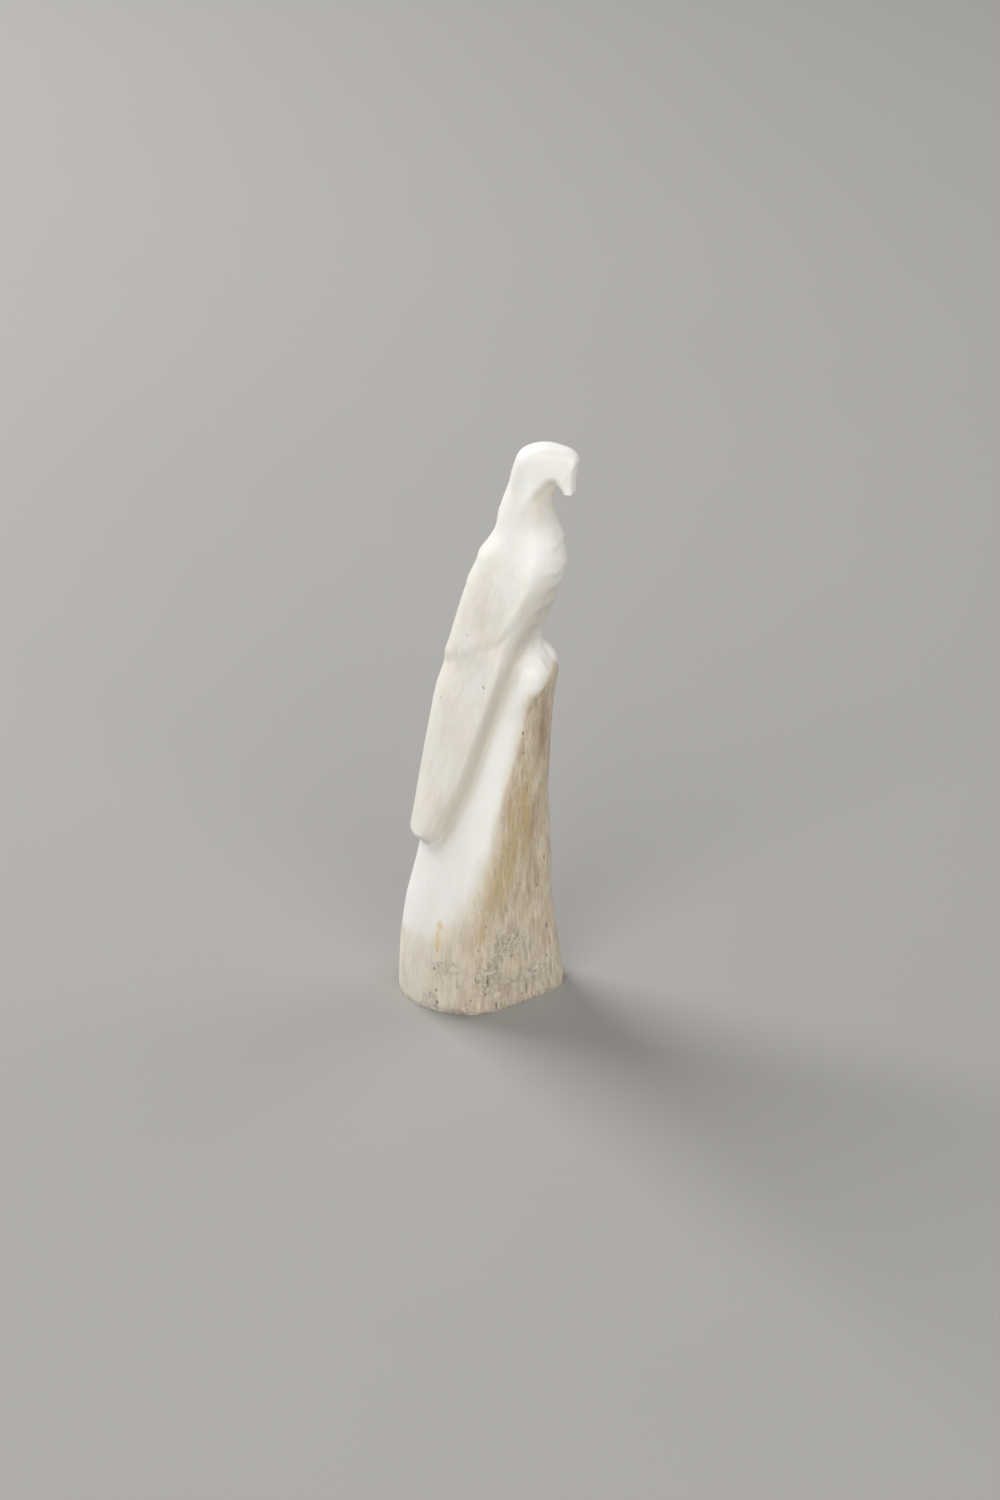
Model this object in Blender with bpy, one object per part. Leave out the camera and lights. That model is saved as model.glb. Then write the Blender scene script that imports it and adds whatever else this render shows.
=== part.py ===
"""Eagle carved in the round from the end of an antler, perched on the stump left uncarved below it.

The carving is one solid. It is a loft of closed sections up the stump, through the bird and round a fan
at the throat to the tip of the beak. The folded wings, the long tail, the feet and the hood of the head
then stand out from that loft, and the grooves beside them are cut into it.
The origin is the middle of the sawn foot. +X is the way the bird faces, +Y its left side, +Z up.
"""

import math
from collections import namedtuple

import bmesh
import bpy
import numpy as np

# Driving size, in metres. Every other length below is in hundredths of it.
CARVING_HEIGHT = 0.090

# The mesh
SIDES = 66
RING_SPACING = 1.53
SHARP_EDGE = 50.0

# A section of the loft. Its long axis runs from back to front in the bird's middle plane, or turned from
# that plane by turn degrees. Square is two for an ellipse and more for flatter sides. Facet is how far out
# the facet on the near front quarter lies, as a share of the section: above about one it takes nothing off.
Section = namedtuple("Section", "front_x front_z back_x back_z width turn square facet")
SECTIONS = {
    "sawn foot": Section(13.9, 0.0, -13.4, 0.0, 20.2, 21.0, 2.1, 0.74),
    "above the foot": Section(13.0, 6.4, -13.3, 6.4, 20.0, 21.0, 2.1, 0.75),
    "lower stump": Section(11.8, 15.6, -12.4, 15.6, 18.8, 20.0, 2.0, 0.78),
    "below the tail": Section(11.4, 25.0, -10.35, 25.0, 17.3, 18.0, 2.0, 0.82),
    "middle stump": Section(11.0, 34.5, -8.7, 34.5, 16.0, 12.0, 2.0, 0.88),
    "upper stump": Section(11.2, 45.5, -7.0, 45.5, 14.6, 6.0, 2.0, 0.97),
    "below the feet": Section(12.0, 55.0, -5.3, 55.0, 13.2, 0.0, 2.0, 1.15),
    "feet": Section(12.6, 61.0, -3.15, 61.5, 12.4, 0.0, 2.0, 1.4),
    "waist": Section(10.1, 65.6, -1.8, 66.6, 12.2, 0.0, 2.0, 1.5),
    "flank": Section(11.95, 72.8, 0.0, 73.2, 12.4, 0.0, 2.1, 1.5),
    "breast": Section(13.8, 79.2, 2.05, 79.0, 12.2, 0.0, 2.1, 1.5),
    "shoulder": Section(13.0, 84.2, 3.1, 84.0, 11.0, 0.0, 2.1, 1.5),
    "lower neck": Section(12.5, 87.1, 3.3, 87.0, 9.6, 0.0, 2.0, 1.5),
    "neck": Section(12.2, 89.4, 4.0, 89.6, 8.4, 0.0, 2.0, 1.5),
    "nape": Section(12.4, 91.0, 5.0, 92.4, 7.7, 0.0, 2.0, 1.5),
    "back of the head": Section(12.7, 91.8, 5.75, 95.4, 7.6, 0.0, 2.1, 1.5),
    "back of the crown": Section(13.0, 92.3, 7.0, 98.15, 7.6, 0.0, 2.2, 1.5),
    "crown": Section(13.2, 92.6, 10.3, 99.6, 7.6, 0.0, 2.2, 1.5),
    "forehead": Section(13.4, 92.75, 13.5, 99.45, 7.4, 0.0, 2.2, 1.5),
    "front of the crown": Section(13.55, 92.8, 15.5, 98.8, 6.8, 0.0, 2.1, 1.5),
    "brow": Section(13.65, 92.8, 16.2, 97.7, 6.0, 0.0, 2.1, 1.5),
    "root of the beak": Section(13.75, 92.75, 15.9, 96.2, 5.0, 0.0, 2.1, 1.5),
    "beak": Section(13.95, 92.6, 15.7, 94.7, 3.9, 0.0, 2.2, 1.5),
    "hook": Section(14.1, 92.3, 15.6, 93.2, 3.0, 0.0, 2.5, 1.5),
    "tip of the beak": Section(14.3, 91.9, 15.5, 92.0, 2.2, 0.0, 3.0, 1.5),
}

# Where the stump's facet faces, in degrees round from the section's front, and how sharp its two edges are
FACET_TOWARDS = -46.0
FACET_SHARPNESS = 12.0

# Edges of the carving seen from the bird's side, as points (x, z), each with the raised part behind it.
# The first runs down the front of the folded wings and the tail and round the tail's tip.
PLUMAGE_EDGE = (
    (13.6, 88.0),
    (13.2, 83.0),
    (12.4, 78.0),
    (11.2, 73.5),
    (9.6, 69.5),
    (8.2, 65.5),
    (6.9, 60.5),
    (5.6, 55.0),
    (4.4, 50.0),
    (3.0, 44.3),
    (1.4, 39.3),
    (-1.1, 34.4),
    (-3.7, 31.2),
    (-6.0, 29.9),
    (-9.0, 29.7),
    (-14.0, 29.7),
)
WING_EDGE = (
    (13.6, 84.0),
    (12.4, 79.2),
    (11.4, 76.0),
    (9.6, 72.2),
    (7.3, 68.8),
    (4.9, 66.4),
    (1.6, 64.0),
    (-1.9, 60.8),
    (-5.7, 57.0),
    (-9.0, 54.8),
)
HOOD_EDGE = (
    (16.0, 94.6),
    (14.2, 95.3),
    (12.8, 95.5),
    (11.5, 94.8),
    (10.5, 93.9),
    (9.2, 92.5),
    (8.1, 91.3),
    (6.7, 89.5),
)

# The plumage: how far it stands out, how wide its edge slopes, and the groove in front of that edge. From
# the waist up the edge grows soft and the groove shallow.
PLUMAGE_DEPTH = 1.95
EDGE_WIDTH = 2.2
SOFT_EDGE_WIDTH = 6.0
SOFTER_FROM = 61.0
SOFTEST_FROM = 74.0
GROOVE_DEPTH = 0.9
SOFT_GROOVE_DEPTH = 0.35
GROOVE_WIDTH = 1.7

# The soft rim behind the edge
RIM_DEPTH = 0.25
RIM_INSET = 2.3
RIM_WIDTH = 1.3

# On its front half the plumage stands out to the sides, and only this share of it forwards
FORWARD_SHARE = 0.1

# The wings lie over the tail as a thin tier, with a soft crest at its front and a thicker back
TIER_DEPTH = 0.07
TIER_DEPTH_AT_BACK = 0.6
TIER_LENGTH = 5.0
TIER_ROUNDING = 1.6
CREST_DEPTH = 0.38
CREST_FROM = 1.0
CREST_FULL_FROM = 6.0

# The cleft down the back where the folded wings meet
CLEFT_DEPTH = 0.4
CLEFT_WIDTH = 1.2
CLEFT_FROM = 36.0
CLEFT_FULL_FROM = 44.0

# The shoulder is highest at the back, and slopes down to the front. It starts higher at the sides.
SHOULDER_BACK = (2.0, 86.2)
SHOULDER_SLOPE = -0.3
SHOULDER_RISE_AT_SIDE = 2.0
SHOULDER_ROUNDING = 4.2
SHOULDER_ROUNDING_AT_SIDE = 15.0

# Feather tiers that notch the outline of the back and of the breast, by the height of each notch
BACK_TIERS = (73.8, 79.2)
BACK_TIER_DEPTH = 0.3
BACK_TIER_LENGTH = 3.2
BREAST_TIERS = (69.0, 72.6, 75.2, 78.4, 82.4)
BREAST_TIER_DEPTH = 0.16
BREAST_TIER_LENGTH = 1.9
BREAST_TIER_ROUNDING = 0.7
BREAST_TOP = 88.0
BREAST_FULL_BELOW = 85.0

# The throat is sunk below the hood of feathers on the head. Its edge dies out to the nape and the beak.
HOOD_DEPTH = 0.45
HOOD_ROUNDING = 1.8
HOOD_FROM = 6.5
HOOD_FULL_FROM = 11.0
HOOD_FULL_TO = 12.6
HOOD_TO = 14.0
THROAT_LENGTH = 4.5
THROAT_FROM = 84.0
THROAT_FULL_FROM = 88.0

# The share of a surface's direction from which it starts to face a way, and from which it faces it fully:
# the back or the front as a whole, the middle of the breast, and the line of the spine
SIDE_TO_END = (0.19, 0.81)
SIDE_TO_BREAST = (0.80, 0.97)
SIDE_TO_SPINE = (0.60, 0.95)

# A rounded lump on both sides of the bird: its centre, radius and height, sunk where the height is negative
Lump = namedtuple("Lump", "x y z radius height")
LUMPS = {
    "foot": Lump(10.0, 4.4, 60.2, 2.6, 0.85),
    "toe": Lump(8.6, 5.2, 56.8, 1.8, 0.45),
    "gap between the feet": Lump(12.6, 0.0, 62.8, 1.5, -0.55),
    "eye hollow": Lump(15.3, 2.6, 96.6, 1.6, -0.3),
}

ANTLER_COLOUR = (0.80, 0.75, 0.66)
ANTLER_ROUGHNESS = 0.42


def curve_through(rows, at):
    """Rows of values read at the places at, on a smooth curve through them. A place is a row's number."""
    rows = np.asarray(rows, float)
    padded = np.vstack([2 * rows[0] - rows[1], rows, 2 * rows[-1] - rows[-2]])
    at = np.clip(np.asarray(at, float), 0.0, len(rows) - 1.0)
    first = np.minimum(at.astype(int), len(rows) - 2)
    t = (at - first)[:, None]
    before, start, end, after = (padded[first + k] for k in range(4))
    slope_in = (end - before) / 2
    slope_out = (after - start) / 2
    return (
        start * (2 * t**3 - 3 * t**2 + 1)
        + slope_in * (t**3 - 2 * t**2 + t)
        + end * (-2 * t**3 + 3 * t**2)
        + slope_out * (t**3 - t**2)
    )


def ramp(value, start, end):
    """A smooth rise from nought at start to one at end."""
    share = np.clip((value - start) / (end - start), 0.0, 1.0)
    return share * share * (3 - 2 * share)


def hump(value):
    """A smooth hump, one high at nought and about two wide."""
    return np.exp(-(value**2))


def shingle(above, length, rounding):
    """A tier that is thickest just above its lower edge and thins upwards."""
    return ramp(above, 0.0, rounding) * np.exp(-np.maximum(above, 0.0) / length)


def signed_power(value, exponent):
    """A power that keeps the sign of its base."""
    return np.sign(value) * np.abs(value) ** exponent


def even_places(rows, spacing):
    """Places on the loft whose rings lie about one spacing apart, measured mostly on the longer side."""
    fine = np.linspace(0.0, len(rows) - 1.0, 40 * len(rows))
    steps = np.diff(curve_through(rows, fine)[:, :4], axis=0)
    front = np.hypot(steps[:, 0], steps[:, 1])
    back = np.hypot(steps[:, 2], steps[:, 3])
    length = 0.3 * np.minimum(front, back) + 0.7 * np.maximum(front, back)
    run = np.concatenate([[0.0], np.cumsum(length)])
    count = max(2, round(run[-1] / spacing))
    return np.interp(np.linspace(0.0, run[-1], count + 1), run, fine)


def pared(angle, facet):
    """How much of a section is left in each direction once its facet is pared off."""
    towards = np.maximum(np.cos(angle - math.radians(FACET_TOWARDS)), 0.0)
    return (1.0 + (towards / facet) ** FACET_SHARPNESS) ** (-1.0 / FACET_SHARPNESS)


def loft(sides, spacing):
    """The plain form before carving, as rings of points."""
    rows = [tuple(section) for section in SECTIONS.values()]
    values = curve_through(rows, even_places(rows, spacing))
    front_x, front_z, back_x, back_z, width, turn, square, facet = (column[:, None] for column in values.T)
    angle = np.linspace(0.0, 2 * math.pi, sides, endpoint=False)[None, :]
    left = pared(angle, facet)
    along = left * signed_power(np.cos(angle), 2.0 / square)
    side = width / 2 * left * signed_power(np.sin(angle), 2.0 / square)
    long_axis = (front_x + back_x) / 2 + (front_x - back_x) / 2 * along
    height = (front_z + back_z) / 2 + (front_z - back_z) / 2 * along
    turned = np.radians(turn)
    x = long_axis * np.cos(turned) - side * np.sin(turned)
    y = long_axis * np.sin(turned) + side * np.cos(turned)
    return np.stack([x, y, height], axis=2)


def outward(rings):
    """The direction out of the surface at each point of the rings."""
    round_ring = np.roll(rings, -1, axis=1) - np.roll(rings, 1, axis=1)
    direction = np.cross(round_ring, np.gradient(rings, axis=0))
    direction[0, :, 2] = 0.0
    return direction / np.linalg.norm(direction, axis=2, keepdims=True)


def behind(points, edge):
    """How far each point lies behind an edge in the side view, and negative in front of it."""
    line = curve_through(edge, np.linspace(0.0, len(edge) - 1.0, 6 * len(edge)))
    nearest = np.full(points.shape[:2], np.inf)
    found = np.zeros(points.shape[:2])
    for (x, z), (next_x, next_z) in zip(line, line[1:]):
        run_x, run_z = next_x - x, next_z - z
        away_x, away_z = points[..., 0] - x, points[..., 2] - z
        share = np.clip((away_x * run_x + away_z * run_z) / (run_x**2 + run_z**2), 0.0, 1.0)
        gap_x, gap_z = away_x - share * run_x, away_z - share * run_z
        distance = np.hypot(gap_x, gap_z)
        side = np.sign(run_z * gap_x - run_x * gap_z)
        closer = distance < nearest
        nearest = np.where(closer, distance, nearest)
        found = np.where(closer, side * distance, found)
    return found


def edge_and_groove(points, facing_side):
    """The step up to the plumage, with the groove in front of it and the rim behind it."""
    depth = behind(points, PLUMAGE_EDGE)
    soft = ramp(points[..., 2], SOFTER_FROM, SOFTEST_FROM)
    width = EDGE_WIDTH + (SOFT_EDGE_WIDTH - EDGE_WIDTH) * soft
    step = ramp(depth, -width / 2, width / 2)
    groove = GROOVE_DEPTH + (SOFT_GROOVE_DEPTH - GROOVE_DEPTH) * soft
    groove = groove * (1.0 - step) * np.exp(np.minimum(depth, 0.0) / GROOVE_WIDTH)
    rim = RIM_DEPTH * (1.0 - soft) * hump((depth - RIM_INSET) / RIM_WIDTH)
    return PLUMAGE_DEPTH * step + facing_side * (rim - groove)


def tiers_of_feathers(points, near_spine):
    """The wings' own thickness over the tail, and the tiers and the cleft down the back."""
    x, y, z = np.moveaxis(points, 2, 0)
    depth = TIER_DEPTH + TIER_DEPTH_AT_BACK * near_spine
    depth = depth + CREST_DEPTH * (1.0 - near_spine) * ramp(x, CREST_FROM, CREST_FULL_FROM)
    raised = depth * shingle(behind(points, WING_EDGE), TIER_LENGTH, TIER_ROUNDING)
    for notch in BACK_TIERS:
        raised += BACK_TIER_DEPTH * near_spine * shingle(z - notch, BACK_TIER_LENGTH, TIER_ROUNDING)
    return raised - CLEFT_DEPTH * near_spine * hump(y / CLEFT_WIDTH) * ramp(z, CLEFT_FROM, CLEFT_FULL_FROM)


def below_shoulder(points, facing_back):
    """The share of the plumage left at each point below the rounded top of the shoulder."""
    top = SHOULDER_BACK[1] + SHOULDER_SLOPE * (points[..., 0] - SHOULDER_BACK[0])
    top = top + SHOULDER_RISE_AT_SIDE * (1.0 - facing_back)
    rounding = SHOULDER_ROUNDING_AT_SIDE + (SHOULDER_ROUNDING - SHOULDER_ROUNDING_AT_SIDE) * facing_back
    return ramp(top - points[..., 2], 0.0, rounding)


def plumage(points, facing_back, near_spine):
    """How far the folded wings and the tail stand out."""
    raised = edge_and_groove(points, 1.0 - facing_back) + tiers_of_feathers(points, near_spine)
    return raised * below_shoulder(points, facing_back)


def breast(points, facing_front):
    """Small overlapping feathers cut across the front of the breast."""
    height = points[..., 2]
    tiers = sum(shingle(height - tier, BREAST_TIER_LENGTH, BREAST_TIER_ROUNDING) for tier in BREAST_TIERS)
    return BREAST_TIER_DEPTH * facing_front * ramp(height, BREAST_TOP, BREAST_FULL_BELOW) * tiers


def hood(points):
    """The throat sunk below the hood of feathers that covers the head."""
    x, height = points[..., 0], points[..., 2]
    depth = behind(points, HOOD_EDGE)
    share = ramp(x, HOOD_FROM, HOOD_FULL_FROM) * ramp(x, HOOD_TO, HOOD_FULL_TO)
    share = share * ramp(height, THROAT_FROM, THROAT_FULL_FROM) * ramp(depth, 0.0, -HOOD_ROUNDING)
    return -HOOD_DEPTH * share * np.exp(np.minimum(depth, 0.0) / THROAT_LENGTH)


def lumps(points):
    """The feet and the other rounded lumps and hollows."""
    mirrored = points * (1, 0, 1) + np.abs(points) * (0, 1, 0)
    return sum(
        lump.height * hump(np.linalg.norm(mirrored - (lump.x, lump.y, lump.z), axis=2) / lump.radius)
        for lump in LUMPS.values()
    )


def carved(rings):
    """The rings with all the carving on them."""
    direction = outward(rings)
    forwards = direction[..., 0]
    level = np.maximum(np.hypot(forwards, direction[..., 1]), 1e-6)
    sideways = direction.copy()
    sideways[..., 0] = np.minimum(forwards, FORWARD_SHARE * forwards)
    feathers = plumage(rings, ramp(-forwards, *SIDE_TO_END), ramp(-forwards / level, *SIDE_TO_SPINE))
    small_carving = breast(rings, ramp(forwards / level, *SIDE_TO_BREAST)) + hood(rings) + lumps(rings)
    return rings + feathers[..., None] * sideways + small_carving[..., None] * direction


def skin(rings):
    """A closed mesh from the rings, with both ends capped."""
    shape = bmesh.new()
    grid = [[shape.verts.new(point * CARVING_HEIGHT / 100) for point in ring] for ring in rings]
    sides = len(grid[0])
    for lower, upper in zip(grid, grid[1:]):
        for k in range(sides):
            following = (k + 1) % sides
            shape.faces.new((lower[k], lower[following], upper[following], upper[k]))
    shape.faces.new(list(reversed(grid[0])))
    shape.faces.new(grid[-1])
    return shape


def antler():
    """Polished antler, off white and a little glossy."""
    material = bpy.data.materials.new("antler")
    material.use_nodes = True
    surface = material.node_tree.nodes["Principled BSDF"]
    surface.inputs["Base Color"].default_value = (*ANTLER_COLOUR, 1.0)
    surface.inputs["Roughness"].default_value = ANTLER_ROUGHNESS
    surface.inputs["Metallic"].default_value = 0.0
    return material


def eagle():
    """The whole carving as one object."""
    shape = skin(carved(loft(SIDES, RING_SPACING)))
    mesh = bpy.data.meshes.new("eagle")
    shape.to_mesh(mesh)
    shape.free()
    mesh.shade_smooth()
    mesh.set_sharp_from_angle(angle=math.radians(SHARP_EDGE))
    mesh.materials.append(antler())
    bpy.context.scene.collection.objects.link(bpy.data.objects.new("eagle", mesh))


def main():
    """Clears the scene and makes the carving."""
    for leftover in list(bpy.data.objects):
        bpy.data.objects.remove(leftover)
    eagle()


main()
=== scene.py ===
"""Dresses the eagle carving with its finished surface, and sets it in a plain studio.

The antler is one piece, so the scene holds one piece too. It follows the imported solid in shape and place, on
a finer mesh that has room for what a knife, a rasp and time leave on antler.
Lengths on the carving are in hundredths of its height. Everything else is in metres.
+X is the way the bird faces, +Y its left side, +Z up, and the origin is the middle of the sawn foot.
"""

from __future__ import annotations

import logging
import math
from collections.abc import Iterable, Sequence
from dataclasses import astuple, dataclass, field
from enum import Enum
from functools import reduce

import bpy
import numpy as np
from mathutils import Matrix, Vector, noise


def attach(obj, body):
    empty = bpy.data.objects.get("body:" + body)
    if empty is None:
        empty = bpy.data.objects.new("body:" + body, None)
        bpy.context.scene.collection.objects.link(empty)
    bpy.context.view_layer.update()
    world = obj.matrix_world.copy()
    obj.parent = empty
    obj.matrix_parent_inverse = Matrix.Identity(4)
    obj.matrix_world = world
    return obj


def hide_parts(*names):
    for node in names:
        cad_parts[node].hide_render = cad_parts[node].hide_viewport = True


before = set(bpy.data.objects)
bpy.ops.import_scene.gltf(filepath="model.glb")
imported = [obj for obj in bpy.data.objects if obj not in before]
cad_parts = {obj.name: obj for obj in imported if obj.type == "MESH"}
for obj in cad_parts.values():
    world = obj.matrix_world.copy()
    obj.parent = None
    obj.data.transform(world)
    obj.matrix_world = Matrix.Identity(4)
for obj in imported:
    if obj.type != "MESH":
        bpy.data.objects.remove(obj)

Array = np.ndarray
Span = tuple[float, float]
Place = tuple[float, float, float]
Colour = tuple[float, float, float]
Socket = bpy.types.NodeSocket

CARVING_HEIGHT = 0.090
HUNDREDTH = CARVING_HEIGHT / 100
NODE = "eagle"
BODY = "root"

# How far the surface has to face one way, as the range over which a point comes to belong to each part.
FACING_BACK: Span = (0.19, 0.81)
FACING_SPINE: Span = (0.60, 0.95)
FACING_BREAST: Span = (0.66, 0.98)

log = logging.getLogger("eagle")


def curve_through(rows: Sequence[Sequence[float]], at: Array) -> Array:
    """Reads a smooth curve through rows of values.

    Args:
        rows: the rows that the curve passes through.
        at: the places to read, where a whole number is a row.

    Returns:
        One row of values for each place.
    """
    known = np.asarray(rows, float)
    padded = np.vstack([2 * known[0] - known[1], known, 2 * known[-1] - known[-2]])
    at = np.clip(np.asarray(at, float), 0.0, len(known) - 1.0)
    first = np.minimum(at.astype(int), len(known) - 2)
    t = (at - first)[:, None]
    before, start, end, after = (padded[first + k] for k in range(4))
    return (
        start * (2 * t**3 - 3 * t**2 + 1)
        + (end - before) / 2 * (t**3 - 2 * t**2 + t)
        + end * (-2 * t**3 + 3 * t**2)
        + (after - start) / 2 * (t**3 - t**2)
    )


def ramp(value: Array, start: float | Array, end: float | Array) -> Array:
    """Gives a smooth rise from nought at start to one at end."""
    share = np.clip((value - start) / (end - start), 0.0, 1.0)
    return share * share * (3 - 2 * share)


def hump(value: Array) -> Array:
    """Gives a smooth hump, one high at nought and about two wide."""
    return np.exp(-(value**2))


def shingle(above: Array, length: float, rounding: float) -> Array:
    """Gives a tier that is thickest just above its lower edge and thins upwards."""
    return ramp(above, 0.0, rounding) * np.exp(-np.maximum(above, 0.0) / length)


def signed_power(value: Array, exponent: float | Array) -> Array:
    """Raises to a power and keeps the sign of the base."""
    return np.sign(value) * np.abs(value) ** exponent


def on_one_side(points: Array) -> Array:
    """Folds the right side of the carving onto its left side."""
    return points * (1, 0, 1) + np.abs(points) * (0, 1, 0)


@dataclass(frozen=True)
class Grain:
    """A smooth noise: how far apart its bumps lie, how much longer they are upwards, and where it starts."""

    size: float
    stretch: float
    seed: float

    def at(self, points: Array) -> Array:
        """Reads the noise at the points, as values from about minus one to one."""
        flat = points.reshape(-1, 3) / (self.size, self.size, self.size * self.stretch) + self.seed
        values = np.fromiter((noise.noise(Vector(place)) for place in flat), float, len(flat))
        return values.reshape(points.shape[:-1])


@dataclass(frozen=True)
class Patches:
    """Patches where a noise passes from one value to another, which fade from one height to another."""

    grain: Grain
    values: Span
    heights: Span

    def share(self, points: Array) -> Array:
        """Gives how much of a patch lies at each point."""
        return ramp(self.grain.at(points), *self.values) * ramp(points[..., 2], *self.heights)


@dataclass(frozen=True)
class Edge:
    """A line cut into the carving, as points across and up, with the raised part behind it."""

    points: tuple[Span, ...]
    steps: int = 6

    def behind(self, across: Array, up: Array) -> Array:
        """Measures how far places lie behind the line.

        Args:
            across: how far each place lies to the front.
            up: how high each place lies.

        Returns:
            The distance behind the line, and negative in front of it.
        """
        line = curve_through(self.points, np.linspace(0.0, len(self.points) - 1.0, self.steps * len(self.points)))
        nearest = np.full(across.shape, np.inf)
        found = np.zeros(across.shape)
        for (x, z), (next_x, next_z) in zip(line, line[1:]):
            run_x, run_z = next_x - x, next_z - z
            away_x, away_z = across - x, up - z
            share = np.clip((away_x * run_x + away_z * run_z) / (run_x**2 + run_z**2), 0.0, 1.0)
            gap_x, gap_z = away_x - share * run_x, away_z - share * run_z
            distance = np.hypot(gap_x, gap_z)
            closer = distance < nearest
            nearest = np.where(closer, distance, nearest)
            found = np.where(closer, np.sign(run_z * gap_x - run_x * gap_z) * distance, found)
        return found


@dataclass(frozen=True)
class Section:
    """A closed section of the blank, from its front point to its back point."""

    front_x: float
    front_z: float
    back_x: float
    back_z: float
    width: float
    turn: float = 0.0
    square: float = 2.0
    facet: float = 1.5


@dataclass(frozen=True)
class Blank:
    """The plain form before carving: the stump, the bird's body, and a fan at the throat round to the beak."""

    sections: tuple[Section, ...] = (
        Section(13.9, 0.0, -13.4, 0.0, 20.2, 21.0, 2.1, 0.74),
        Section(13.0, 6.4, -13.3, 6.4, 20.0, 21.0, 2.1, 0.75),
        Section(11.8, 15.6, -12.4, 15.6, 18.8, 20.0, 2.0, 0.78),
        Section(11.4, 25.0, -10.35, 25.0, 17.3, 18.0, 2.0, 0.82),
        Section(11.0, 34.5, -8.7, 34.5, 16.0, 12.0, 2.0, 0.88),
        Section(11.2, 45.5, -7.0, 45.5, 14.6, 6.0, 2.0, 0.97),
        Section(12.0, 55.0, -5.3, 55.0, 13.2, facet=1.15),
        Section(12.6, 61.0, -3.15, 61.5, 12.4, facet=1.4),
        Section(10.1, 65.6, -1.8, 66.6, 12.2),
        Section(11.95, 72.8, 0.0, 73.2, 12.4, square=2.1),
        Section(13.8, 79.2, 2.05, 79.0, 12.2, square=2.1),
        Section(13.0, 84.2, 3.1, 84.0, 11.0, square=2.1),
        Section(12.5, 87.1, 3.3, 87.0, 9.6),
        Section(12.2, 89.4, 4.0, 89.6, 8.4),
        Section(12.4, 91.0, 5.0, 92.4, 7.7),
        Section(12.7, 91.8, 5.75, 95.4, 7.6, square=2.1),
        Section(13.0, 92.3, 7.0, 98.15, 7.7, square=2.2),
        Section(13.2, 92.6, 10.3, 99.6, 8.0, square=2.3),
        Section(13.4, 92.75, 13.5, 99.45, 8.2, square=2.4),
        Section(13.55, 92.8, 15.5, 98.8, 8.0, square=2.7),
        Section(13.65, 92.8, 16.2, 97.7, 7.6, square=3.0),
        Section(13.75, 92.75, 15.9, 96.2, 7.0, square=3.2),
        Section(13.95, 92.6, 15.7, 94.7, 6.4, square=3.4),
        Section(14.1, 92.45, 15.6, 93.3, 5.6, square=3.6),
        Section(14.15, 92.0, 15.6, 92.05, 4.6, square=4.0),
    )
    stump_sections: int = 9
    sides: int = 280
    spacing: float = 0.37
    steps: int = 40
    shorter_side_counts: float = 0.3
    longer_side_counts: float = 0.7
    facet_towards: float = -46.0
    facet_sharpness: float = 12.0
    face_narrowed: float = 0.6
    head_from_x: float = 6.5
    head_length: float = 10.0
    head_starts: Span = (88.0, 94.0)

    def rows(self) -> list[tuple[float, ...]]:
        """Gives the sections as rows of values."""
        return [astuple(section) for section in self.sections]

    def places(self) -> Array:
        """Gives the places of the rings, about one spacing apart on the section's longer side."""
        rows = self.rows()
        fine = np.linspace(0.0, len(rows) - 1.0, self.steps * len(rows))
        front_x, front_z, back_x, back_z = np.diff(curve_through(rows, fine)[:, :4], axis=0).T
        front, back = np.hypot(front_x, front_z), np.hypot(back_x, back_z)
        apart = self.shorter_side_counts * np.minimum(front, back) + self.longer_side_counts * np.maximum(front, back)
        run = np.concatenate([[0.0], np.cumsum(apart)])
        return np.interp(np.linspace(0.0, run[-1], round(run[-1] / self.spacing) + 1), run, fine)

    def pared(self, angle: Array, facet: Array) -> Array:
        """Gives how much of a section is left in each direction once its facet is pared off."""
        towards = np.maximum(np.cos(angle - math.radians(self.facet_towards)), 0.0)
        return (1.0 + (towards / facet) ** self.facet_sharpness) ** (-1.0 / self.facet_sharpness)

    def rings(self) -> Array:
        """Lays the rings of points round the blank.

        Returns:
            An array of rings by sides by three coordinates.
        """
        values = curve_through(self.rows(), self.places())
        front_x, front_z, back_x, back_z, width, turn, square, facet = (column[:, None] for column in values.T)
        angle = np.linspace(0.0, 2 * math.pi, self.sides, endpoint=False)[None, :]
        left = self.pared(angle, facet)
        along = left * signed_power(np.cos(angle), 2.0 / square)
        long_axis = (front_x + back_x) / 2 + (front_x - back_x) / 2 * along
        height = (front_z + back_z) / 2 + (front_z - back_z) / 2 * along
        narrowed = self.face_narrowed * np.clip((long_axis - self.head_from_x) / self.head_length, 0.0, 1.0)
        narrowed = 1.0 - narrowed * ramp(height, *self.head_starts)
        side = width / 2 * left * signed_power(np.sin(angle), 2.0 / square) * narrowed
        turned = np.radians(turn)
        x = long_axis * np.cos(turned) - side * np.sin(turned)
        y = long_axis * np.sin(turned) + side * np.cos(turned)
        return np.stack([x, y, height], axis=2)

    def middle(self, height: Array) -> Array:
        """Gives how far forward the stump's middle lies at each height."""
        stump = self.sections[: self.stump_sections]
        middles = [(section.front_x + section.back_x) / 2 for section in stump]
        return np.interp(height, [section.front_z for section in stump], middles)


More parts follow.
